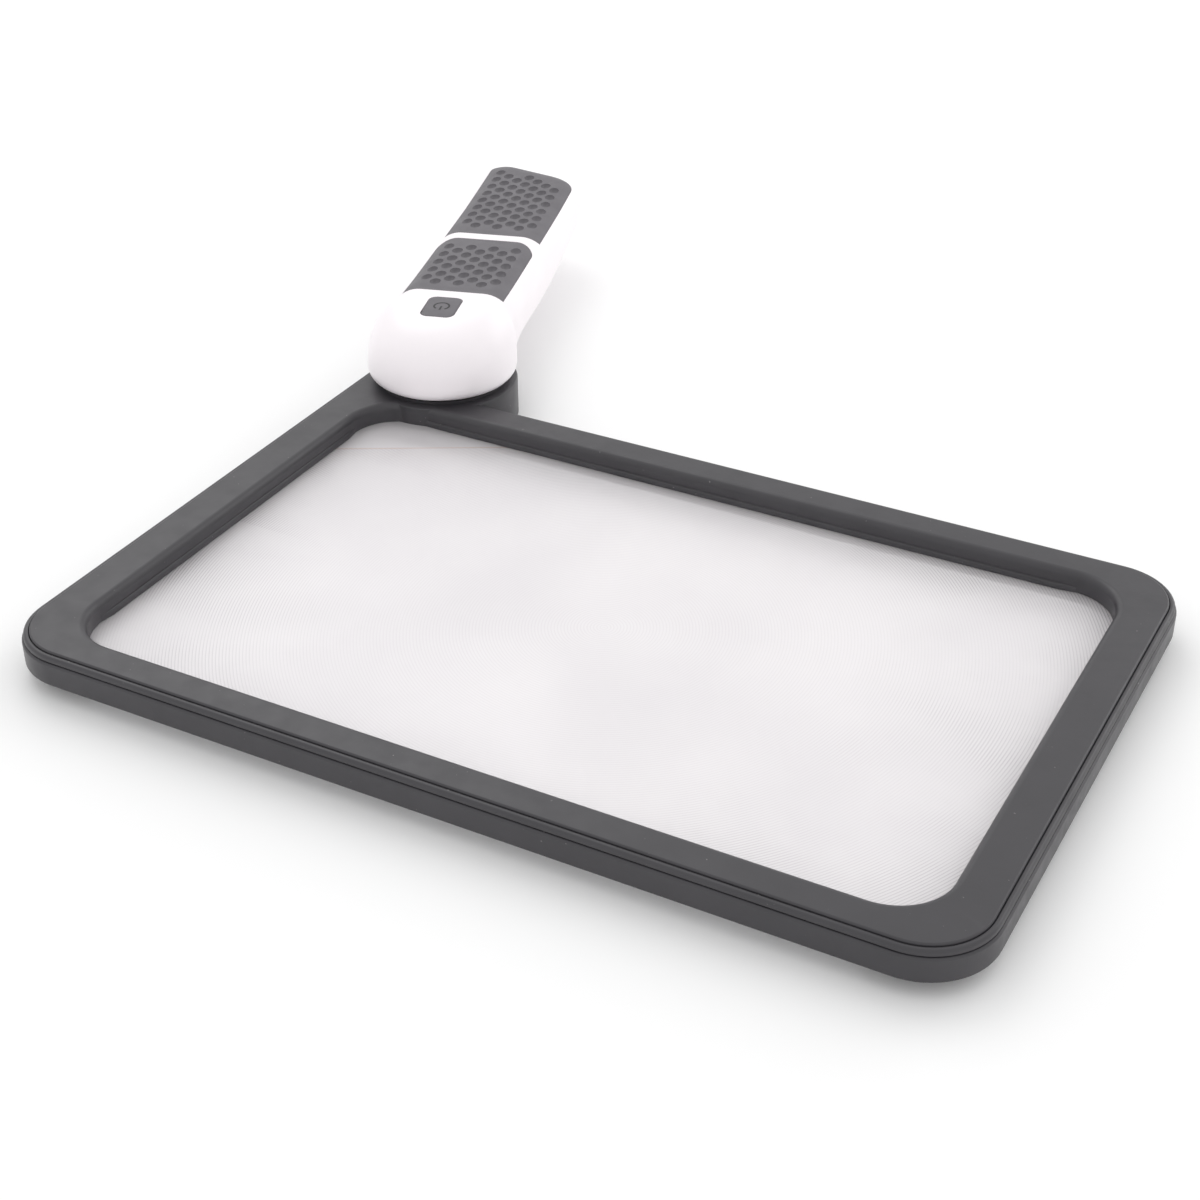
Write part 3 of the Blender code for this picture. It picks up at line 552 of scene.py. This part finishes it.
def moulded(name, colour, roughness, grain=0.7, bump=0.12, mottle=0.06, wear=0.25, metallic=0.0, dust=0.0):
    """Moulded or finished surface: soft mottling, fine grain, paler worn edges, uneven gloss, dust."""
    mat, tree, shader = new_material(name)
    darker = tuple(channel * (1.0 - mottle) for channel in colour)
    lighter = tuple(min(1.0, channel * (1.0 + mottle)) for channel in colour)
    base = mixed(tree, ranged(tree, noise(tree, 14.0, 4.0), 0.0, 1.0), darker, lighter)
    if wear > 0.0:
        edge = add_node(tree, "ShaderNodeNewGeometry").outputs["Pointiness"]
        worn = ranged(tree, edge, 0.0, wear, 0.53, 0.62)
        pale = tuple(min(1.0, channel * 1.5 + 0.03) for channel in colour)
        base = mixed(tree, worn, base, pale)
    if dust > 0.0:
        specks = ranged(tree, noise(tree, 1.1, 2.0), 0.0, dust, 0.75, 0.775)
        base = mixed(tree, specks, base, (0.45, 0.43, 0.42))
    tree.links.new(base, shader.inputs["Base Color"])
    gloss = ranged(tree, noise(tree, 5.0, 5.0), roughness * 0.86, roughness * 1.14)
    tree.links.new(gloss, shader.inputs["Roughness"])
    shader.inputs["Metallic"].default_value = metallic
    relief = add_node(tree, "ShaderNodeBump", Strength=bump, Distance=0.05 * MM)
    tree.links.new(noise(tree, grain, 2.0), relief.inputs["Height"])
    tree.links.new(relief.outputs["Normal"], shader.inputs["Normal"])
    return mat


def math_node(tree, operation, first, second=None):
    """Result of a math node; each argument is a number or a socket."""
    node = add_node(tree, "ShaderNodeMath", operation=operation)
    for socket, value in zip(node.inputs, (first, second)):
        if isinstance(value, (int, float)):
            socket.default_value = value
        elif value is not None:
            tree.links.new(value, socket)
    return node.outputs[0]


def lens_material():
    """Clear sheet with concentric ridges; painted shade along the ridges, darker in streaks towards its ends, left
    out in one clear corner.
    """
    mat, tree, shader = new_material("lens_acrylic")
    coords = add_node(tree, "ShaderNodeTexCoord").outputs["Object"]
    parts = add_node(tree, "ShaderNodeSeparateXYZ")
    tree.links.new(coords, parts.inputs[0])
    x = math_node(tree, "SUBTRACT", parts.outputs["X"], ZERO.x)
    y = math_node(tree, "SUBTRACT", parts.outputs["Y"], ZERO.y)
    square = math_node(tree, "ADD", math_node(tree, "MULTIPLY", x, x), math_node(tree, "MULTIPLY", y, y))
    radius = math_node(tree, "SQRT", square)
    tooth = math_node(tree, "FRACT", math_node(tree, "MULTIPLY", radius, 1.0 / (LENS_PITCH * MM)))
    angle = math_node(tree, "ARCTAN2", y, x)
    # Painted shade: dark grey laid along each ridge, stronger towards the lens ends and broken into streaks, mixed
    # into the base colour.
    rays = add_node(tree, "ShaderNodeCombineXYZ")
    tree.links.new(math_node(tree, "MULTIPLY", angle, 0.035), rays.inputs["X"])
    tree.links.new(math_node(tree, "MULTIPLY", radius, 0.25), rays.inputs["Y"])
    shade_streaks = ranged(tree, noise(tree, 14.0, 3.0, rays.outputs[0]), 0.0, 1.0, 0.42, 0.62)
    rim = ranged(tree, radius, 0.0, 1.0, 0.060, 0.125)
    ring_shade_strength = math_node(tree, "MULTIPLY", math_node(tree, "MULTIPLY", rim, shade_streaks), 0.85)
    line = ranged(tree, tooth, 1.0, 0.0, 0.0, 0.45)
    shade = math_node(tree, "MULTIPLY", math_node(tree, "ADD", ring_shade_strength, 0.12), line)
    cloud = mixed(tree, ranged(tree, noise(tree, 50.0, 2.0), 0.0, 1.0, 0.35, 0.65), CLOUD_LOW, CLOUD_HIGH)
    corner = math_node(tree, "SUBTRACT", y, math_node(tree, "MULTIPLY", x, CLEAR_SLOPE))
    clear = ranged(tree, corner, 0.0, 1.0, CLEAR_CORNER * MM, (CLEAR_CORNER + 0.6) * MM)
    shade = math_node(tree, "MULTIPLY", shade, math_node(tree, "SUBTRACT", 1.0, clear))
    # The dark grey here is the painted shade on the ridges.
    base = mixed(tree, shade, cloud, (0.30, 0.29, 0.31))
    edge = math_node(tree, "ABSOLUTE", math_node(tree, "SUBTRACT", corner, CLEAR_CORNER * MM))
    tint = math_node(tree, "MULTIPLY", ranged(tree, edge, 1.0, 0.0, 0.0002, 0.0007), 0.35)
    base = mixed(tree, tint, base, (0.80, 0.50, 0.36))
    tree.links.new(base, shader.inputs["Base Color"])
    relief = add_node(tree, "ShaderNodeBump", Strength=0.25, Distance=0.02 * MM)
    tree.links.new(tooth, relief.inputs["Height"])
    tree.links.new(relief.outputs["Normal"], shader.inputs["Normal"])
    tree.links.new(ranged(tree, noise(tree, 30.0, 3.0), 0.12, 0.2), shader.inputs["Roughness"])
    shader.inputs["Alpha"].default_value = LENS_COVER
    shader.inputs["IOR"].default_value = 1.49
    return mat


MATERIALS = {
    "frame_plastic": moulded("frame_plastic", (0.040, 0.038, 0.043), 0.40, 0.6, 0.16, 0.07, 0.12, dust=0.3),
    "handle_plastic": moulded("handle_plastic", (0.93, 0.885, 0.91), 0.32, 0.9, 0.05, 0.015, 0.0),
    "grip_rubber": moulded("grip_rubber", (0.125, 0.118, 0.130), 0.55, 0.5, 0.2, 0.05, 0.2),
    "lens_acrylic": lens_material(),
    "diffuser": moulded("diffuser", (0.85, 0.86, 0.88), 0.5, 0.8, 0.1, 0.03, 0.1),
    "board_laminate": moulded("board_laminate", (0.03, 0.18, 0.08), 0.5, 1.2, 0.15, 0.15, 0.1),
    "light_chips": moulded("light_chips", (0.9, 0.82, 0.45), 0.4, 0.8, 0.1, 0.08, 0.1),
    "steel": moulded("steel", (0.6, 0.6, 0.62), 0.32, 0.3, 0.12, 0.08, 0.2, metallic=1.0),
    "contact_metal": moulded("contact_metal", (0.75, 0.72, 0.65), 0.3, 0.3, 0.1, 0.08, 0.2, metallic=1.0),
    "cell_jacket": moulded("cell_jacket", (0.06, 0.065, 0.08), 0.3, 0.8, 0.05, 0.1, 0.2),
    "nylon": moulded("nylon", (0.7, 0.7, 0.68), 0.5, 0.6, 0.1, 0.05, 0.1),
    "switch_plastic": moulded("switch_plastic", (0.05, 0.05, 0.05), 0.45, 0.6, 0.1, 0.1, 0.2),
    "lead_insulation": moulded("lead_insulation", (0.4, 0.03, 0.03), 0.4, 0.6, 0.08, 0.1, 0.1),
}
# Painted shade: near black stands for the shade inside the engraved on-off symbol's groove.
SYMBOL_GROOVE_SHADE = moulded("symbol_groove_shade", (0.025, 0.024, 0.026), 0.6, 0.5, 0.1, 0.1, 0.0)


def paint_cad_nodes():
    """Every CAD node takes the procedural finish of its record slot."""
    slots = {entry["node"]: entry["material_slot"] for entry in frame["record"]["subparts"]}
    for name, obj in frame["nodes"].items():
        mat = MATERIALS[slots[name]]
        if not obj.material_slots:
            obj.data.materials.append(mat)
        for holder in obj.material_slots:
            holder.material = mat


# ---------------------------------------------------------------- frame pieces

def make_upper_cover():
    """Top plate with a rounded outer lip and crease, a rounded inner edge and the wall to the lens."""
    bm = bmesh.new()
    outer = [(LIP_IN + LIP_ROUND + 0.1, LIP_LOW), (LIP_IN, LIP_LOW)]
    outer += rounding((LIP_IN + LIP_ROUND, LIP_TOP), (LIP_IN, LIP_TOP - LIP_ROUND), 5)[::-1]
    outer += [(CREASE_IN - 0.25, LIP_TOP - 0.05), (CREASE_IN, LIP_TOP - 0.35)]
    outer += rounding((CREASE_IN + TOP_ROUND, TOP), (CREASE_IN, TOP - TOP_ROUND), 4)[::-1]
    _, top = loft(bm, frame_outline, outer)
    inner = rounding((-INNER_ROUND, TOP), (0.0, TOP - INNER_ROUND), 7)
    inner += [(0.0, SKIRT_LOW)]
    rim, foot = loft(bm, lambda inset: window_outline(-inset), inner)
    fill(bm, top, rim)
    lip = add_loop(bm, window_outline(LENS_LAP), SKIRT_LOW)
    bridge(bm, foot, lip)
    bmesh.ops.recalc_face_normals(bm, faces=bm.faces)
    add_beads(bm)
    obj = tool_object("upper_cover", mesh_from("upper_cover", bm))
    return finish_piece(obj, "upper_cover", TO_WORLD, MATERIALS["frame_plastic"], "frame",
                        ("frame_upper_cover",))


def add_beads(bm):
    """A low bead along each straight stretch of the inner wall, just above the lens."""
    low, depth = BEAD_LOW, BEAD_DEPTH
    high = BEAD_LOW + BEAD_HEIGHT
    for along, half, wall in (("x", WINDOW_X - BEAD_STOP, WINDOW_Y), ("y", WINDOW_Y - BEAD_STOP, WINDOW_X)):
        for side in (-1, 1):
            section = [(0.0, low), (depth, low), (depth, high - BEAD_BEVEL)]
            section += [(depth - BEAD_BEVEL, high), (0.0, high)]
            rings = []
            for end, share in ((-half - BEAD_TAPER, 0.0), (-half, 1.0), (half, 1.0), (half + BEAD_TAPER, 0.0)):
                ring = []
                for inward, z in section:
                    across = side * (wall + BEAD_SUNK - inward * share - BEAD_SUNK * share * (inward > 0))
                    place = (end, across, z) if along == "x" else (across, end, z)
                    ring.append(bm.verts.new(place))
                rings.append(ring)
            for first, second in zip(rings, rings[1:]):
                bridge(bm, first, second)


def light_slot_outline(side):
    low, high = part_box("light_window_" + side)
    centre = ((low + high) / 2.0 - ZERO) / MM
    half = (high - low) / (2.0 * MM)
    return rounded_rectangle(half.x + 0.3, half.y + 0.3, 1.2, (centre.x, centre.y), 6)


def make_lower_cover():
    """Tray of the frame: side wall, flat underside with two light slots, and the turned boss."""
    bm = bmesh.new()
    section = rounding((WALL_ROUND, WALL_TOP), (0.0, WALL_TOP - WALL_ROUND), 5)
    section += [(0.0, 0.5), (0.15, 0.15), (0.5, 0.0)]
    inside, under = loft(bm, frame_outline, section)
    window_low = add_loop(bm, window_outline(0.25), 0.0)
    window_high = add_loop(bm, window_outline(), 0.25)
    window_lip = add_loop(bm, window_outline(), LENS_SEAT)
    lens_seat = add_loop(bm, window_outline(LENS_LAP), LENS_SEAT)
    bridge(bm, window_low, window_high)
    bridge(bm, window_high, window_lip)
    bridge(bm, window_lip, lens_seat)
    slots = []
    for side in ("front", "back"):
        outline = light_slot_outline(side)
        slots.append(add_loop(bm, outline, 0.0))
        bridge(bm, slots[-1], add_loop(bm, outline, 1.0))
    fill(bm, under, window_low, *slots)
    groove = add_loop(bm, frame_outline(LIP_IN + 1.5), WALL_TOP)
    bridge(bm, inside, groove)
    bmesh.ops.recalc_face_normals(bm, faces=bm.faces)
    boss = [(0.0, CAP_SEAT_TOP), (CAP_SEAT, CAP_SEAT_TOP), (CAP_SEAT, BOSS_LOW), (BOSS_R - 0.8, BOSS_LOW)]
    boss += [(BOSS_R - 0.25, BOSS_LOW + 0.25), (BOSS_R, BOSS_LOW + 0.8), (BOSS_R, TOP - 1.0)]
    boss += [(BOSS_R - 0.3, TOP - 0.35), (BOSS_R - 1.0, TOP - 0.05), (BOSS_STEP_R, TOP - 0.05)]
    boss += [(BOSS_STEP_R, BOSS_TOP), (0.0, BOSS_TOP)]
    lathe(bm, boss, BOSS)
    obj = tool_object("lower_cover", mesh_from("lower_cover", bm))
    return finish_piece(obj, "lower_cover", TO_WORLD, MATERIALS["frame_plastic"], "frame",
                        ("frame_lower_cover",))


def make_boss_disc():
    bm = bmesh.new()
    low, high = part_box("boss_cap")
    radius = (high.x - low.x) / (2.0 * MM)
    bottom, top = (low.z - ZERO.z) / MM, (high.z - ZERO.z) / MM
    profile = [(0.0, top), (radius, top), (radius, bottom + 0.3), (radius - 0.3, bottom)]
    profile += [(4.0, bottom), (3.6, bottom + 0.3), (0.0, bottom + 0.3)]
    lathe(bm, profile, BOSS)
    bmesh.ops.recalc_face_normals(bm, faces=bm.faces)
    obj = tool_object("boss_disc", mesh_from("boss_disc", bm))
    return finish_piece(obj, "boss_disc", TO_WORLD, MATERIALS["frame_plastic"], "frame",
                        ("boss_cap",))


def make_lens():
    low, high = LENS_BOX
    lap = (high.x - low.x) / (2.0 * MM) - WINDOW_X
    top = (high.z - ZERO.z) / MM
    bm = bmesh.new()
    section = [(LENS_EDGE, LENS_LOW), (0.0, LENS_LOW + LENS_EDGE), (0.0, top - LENS_EDGE), (LENS_EDGE, top)]
    lower, upper = loft(bm, lambda inset: window_outline(lap - inset), section)
    fill(bm, lower)
    fill(bm, upper)
    bmesh.ops.recalc_face_normals(bm, faces=bm.faces)
    obj = tool_object("ridged_lens", mesh_from("ridged_lens", bm))
    return finish_piece(obj, "ridged_lens", TO_WORLD, MATERIALS["lens_acrylic"], "frame",
                        ("fresnel_lens",))


# ---------------------------------------------------------------- handle pieces

def door_region(grow):
    y = (DOOR_Y[0] + DOOR_Y[1]) / 2.0
    half_y = (DOOR_Y[1] - DOOR_Y[0]) / 2.0 + grow
    return plate("door", 0.0, 15.0, rounded_rectangle(DOOR_HALF + grow, half_y, 2.0 + grow, (0.0, y), 8))


def make_upper_shell():
    shell = cut(handle_form("shell", 0.0), handle_form("hollow", SHELL))
    cut(shell, below_seam("below"))
    for span in (FRONT_PAD_Y, REAR_PAD_Y):
        recess = plate("recess", PAD_LOW - 0.2, ABOVE_ALL, pad_outline(span, PAD_GAP))
        cut(recess, handle_form("recess_floor", PAD_RECESS))
        cut(shell, recess)
    half_x, half_y = BUTTON_HALF[0] + BUTTON_GAP, BUTTON_HALF[1] + BUTTON_GAP
    hole = rounded_rectangle(half_x, half_y, BUTTON_CORNER + BUTTON_GAP, (0.0, BUTTON_Y), 10)
    cut(shell, plate("button_hole", 24.0, ABOVE_ALL, hole))
    return finish_piece(shell, "upper_shell", HANDLE_TO_WORLD, MATERIALS["handle_plastic"], "handle",
                        ("handle_upper_shell",))


def make_lower_shell():
    shell = cut(handle_form("shell", 0.0), handle_form("hollow", SHELL))
    keep_inside(shell, below_seam("below"))
    cut(shell, door_region(DOOR_GAP))
    cut(shell, plate("pivot_hole", 0.0, 14.0, circle(PIVOT_HOLE_R)))
    for i in range(HANDLE_SCREW_COUNT):
        low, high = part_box("handle_screw_" + str(i + 1))
        centre = HANDLE_TO_WORLD.inverted() @ ((low + high) / 2.0)
        seat = smooth_line(BOTTOM_LINE, centre.y) + SCREW_SEAT_DEPTH
        cut(shell, plate("screw_seat", 0.0, seat, circle(SCREW_SEAT_R, (centre.x, centre.y), 32)))
    return finish_piece(shell, "lower_shell", HANDLE_TO_WORLD, MATERIALS["handle_plastic"], "handle",
                        ("handle_lower_shell",))


def make_door():
    door = cut(handle_form("door", 0.0), handle_form("hollow", DOOR_THICKNESS))
    keep_inside(door, door_region(0.0))
    ribs = []
    for i in range(RIB_COUNT):
        y = RIB_START + RIB_PITCH * i
        outline = rounded_rectangle(RIB_HALF[0], RIB_HALF[1], RIB_CORNER, (0.0, y), 4)
        ribs.append(plate("rib", 0.0, smooth_line(BOTTOM_LINE, y) + RIB_DEPTH, outline))
    cut(door, *ribs)
    return finish_piece(door, "cell_door", HANDLE_TO_WORLD, MATERIALS["handle_plastic"], "door",
                        ("battery_door",))


def dimple_places(span, stop):
    """Staggered dimple centres in plan, in rows along the handle."""
    places = []
    for column in range(-DIMPLE_COLUMNS, DIMPLE_COLUMNS + 1):
        x = column * DIMPLE_COLUMN
        y = span[0] + DIMPLE_MARGIN + (DIMPLE_PITCH / 2.0 if column % 2 else 0.0)
        limit = stop(x)
        while y < limit:
            places.append((x, y))
            y += DIMPLE_PITCH
    return places


def surface_height(x, y):
    """Height of the handle's top surface, on its flat crown and its side rounding."""
    inset = HANDLE_HALF - abs(x)
    top = smooth_line(TOP_LINE, y)
    run, drop = edge_rounding(Vector((x, y)), top - smooth_line(BOTTOM_LINE, y), 0.0)
    if inset >= run:
        return top, 0.0
    share = math.acos(1.0 - inset / run)
    return top - drop * (1.0 - math.sin(share)), math.pi / 2.0 - share


def dimple_cutter(places):
    sphere_r = (DIMPLE_R ** 2 + DIMPLE_DEPTH ** 2) / (2.0 * DIMPLE_DEPTH)
    bm = bmesh.new()
    for x, y in places:
        height, lean = surface_height(x, y)
        lift = sphere_r - DIMPLE_DEPTH
        side = math.copysign(math.sin(lean), x)
        centre = Vector((x + side * lift, y, height + math.cos(lean) * lift))
        place = Matrix.Translation(centre) @ Matrix.Diagonal((1.0, DIMPLE_STRETCH, 1.0, 1.0))
        bmesh.ops.create_uvsphere(bm, u_segments=20, v_segments=14, radius=sphere_r, matrix=place)
    return tool_object("dimples", mesh_from("dimples", bm))


def near_edge(_):
    """Y at which the front pad's dimples stop, the same in every column."""
    return FRONT_PAD_Y[1] - DIMPLE_FRONT_STOP


def far_edge(x):
    """Y at which the rear pad's dimples stop, short of the slanted end."""
    return END_CENTRE + HANDLE_HALF * math.hypot(1.0, END_SLOPE) - END_SLOPE * x - DIMPLE_REAR_STOP


def make_pads():
    for name, node, span, stop in (
        ("near_pad", "front_grip_pad", FRONT_PAD_Y, near_edge),
        ("far_pad", "rear_grip_pad", REAR_PAD_Y, far_edge),
    ):
        pad = cut(handle_form("pad", 0.0), handle_form("hollow", PAD_BODY))
        keep_inside(pad, plate("region", PAD_LOW, ABOVE_ALL, pad_outline(span, 0.0)))
        cut(pad, dimple_cutter(dimple_places(span, stop)))
        finish_piece(pad, name, HANDLE_TO_WORLD, MATERIALS["grip_rubber"], "handle", (node,))


def make_button():
    """Softly crowned button cap with a generic on-off symbol standing just proud of it, coloured dark as painted
    shade of an engraved groove.
    """
    bm = bmesh.new()
    section = [(0.0, 26.0), (0.0, BUTTON_TOP - 0.55)]
    section += rounding((0.55, BUTTON_TOP), (0.0, BUTTON_TOP - 0.55), 5)[::-1][1:]
    section += [(1.6, BUTTON_TOP + 0.04), (BUTTON_CORNER - 0.15, BUTTON_TOP + 0.06)]

    def outline(inset):
        half_x, half_y = BUTTON_HALF[0] - inset, BUTTON_HALF[1] - inset
        return rounded_rectangle(half_x, half_y, max(BUTTON_CORNER - inset, 0.1), (0.0, BUTTON_Y), 10)

    lower, upper = loft(bm, outline, section)
    fill(bm, lower)
    bm.faces.new(upper)
    bmesh.ops.recalc_face_normals(bm, faces=bm.faces)
    cap = tool_object("button_cap", mesh_from("button_cap", bm))
    finish_piece(cap, "button_cap", HANDLE_TO_WORLD, MATERIALS["grip_rubber"], "button",
                 ("power_button",))
    make_symbol()


def stroke(bm, points, half_width, low, high):
    """A flat-topped stroke along a list of plan points."""
    rings = []
    count = len(points)
    for i, (x, y) in enumerate(points):
        before, after = points[max(i - 1, 0)], points[min(i + 1, count - 1)]
        along = Vector((after[0] - before[0], after[1] - before[1])).normalized()
        side = Vector((-along.y, along.x)) * half_width
        ring = []
        for sign, z in ((-1, low), (1, low), (1, high), (-1, high)):
            ring.append(bm.verts.new((x + sign * side.x, y + sign * side.y, z)))
        rings.append(ring)
    for first, second in zip(rings, rings[1:]):
        bridge(bm, first, second)
    bm.faces.new(rings[0][::-1])
    bm.faces.new(rings[-1])


def make_symbol():
    bm = bmesh.new()
    centre = (0.0, BUTTON_Y + 0.2)
    low, high = BUTTON_TOP - 0.1, BUTTON_TOP + 0.085
    stroke(bm, arc(centre, SYMBOL_R, -55.0, 235.0, 40), SYMBOL_STROKE, low, high)
    stroke(bm, [(0.0, centre[1] - 2.5), (0.0, centre[1] - 0.1)], SYMBOL_STROKE, low, high)
    bmesh.ops.recalc_face_normals(bm, faces=bm.faces)
    obj = tool_object("power_symbol", mesh_from("power_symbol", bm))
    # The symbol takes the near-black painted groove shade.
    return finish_piece(obj, "power_symbol", HANDLE_TO_WORLD, SYMBOL_GROOVE_SHADE, "button")


# ---------------------------------------------------------------- set

def make_floor():
    bpy.ops.mesh.primitive_plane_add(size=20.0, location=(0.0, 0.0, FLOOR_Z - 0.0002))
    floor = bpy.context.object
    floor.name = "floor"
    mat, tree, shader = new_material("floor_paper")
    base = mixed(tree, ranged(tree, noise(tree, 300.0, 2.0), 0.0, 1.0), (0.93, 0.93, 0.93), (0.95, 0.95, 0.95))
    tree.links.new(base, shader.inputs["Base Color"])
    shader.inputs["Roughness"].default_value = 0.9
    shader.inputs["Specular IOR Level"].default_value = 0.1
    floor.data.materials.append(mat)


def make_light(name, place, size, power):
    data = bpy.data.lights.new(name, "AREA")
    data.shape = "DISK"
    data.size = size
    data.energy = power
    obj = bpy.data.objects.new(name, data)
    obj.location = place
    obj.rotation_euler = (ZERO - Vector(place)).to_track_quat("-Z", "Y").to_euler()
    bpy.context.scene.collection.objects.link(obj)


def make_lighting():
    world = bpy.context.scene.world or bpy.data.worlds.new("studio")
    bpy.context.scene.world = world
    world.use_nodes = True
    background = world.node_tree.nodes["Background"]
    background.inputs["Color"].default_value = (1.0, 1.0, 1.0, 1.0)
    background.inputs["Strength"].default_value = WORLD_LIGHT
    make_light("key", (-0.7, 0.5, 1.0), LAMP_SIZE, LAMP_POWER)
    make_light("back", (0.5, 1.1, 0.6), LAMP_SIZE, LAMP_POWER)
    bpy.context.scene.view_settings.view_transform = "Standard"


def make_camera():
    """Camera placed in frame lengths from the lens, turned by its azimuth, elevation and roll."""
    length = 2.0 * HALF_X * MM
    azimuth, elevation, roll = (math.radians(angle) for angle in CAMERA_ANGLES)
    level = math.cos(elevation)
    back = Vector((math.sin(azimuth) * level, -math.cos(azimuth) * level, math.sin(elevation)))
    data = bpy.data.cameras.new("camera")
    data.lens = CAMERA_LENS
    data.sensor_width = 36.0
    data.clip_start = 0.01
    camera = bpy.data.objects.new("camera", data)
    camera.location = ZERO + Vector(CAMERA_PLACE) * length
    turn = (-back).to_track_quat("-Z", "Y") @ Quaternion((0.0, 0.0, 1.0), roll)
    camera.rotation_euler = turn.to_euler()
    bpy.context.scene.collection.objects.link(camera)
    bpy.context.scene.camera = camera


def main():
    paint_cad_nodes()
    make_camera()
    make_upper_cover()
    make_lower_cover()
    make_boss_disc()
    make_lens()
    make_upper_shell()
    make_lower_shell()
    make_door()
    make_pads()
    make_button()
    make_floor()
    make_lighting()


main()
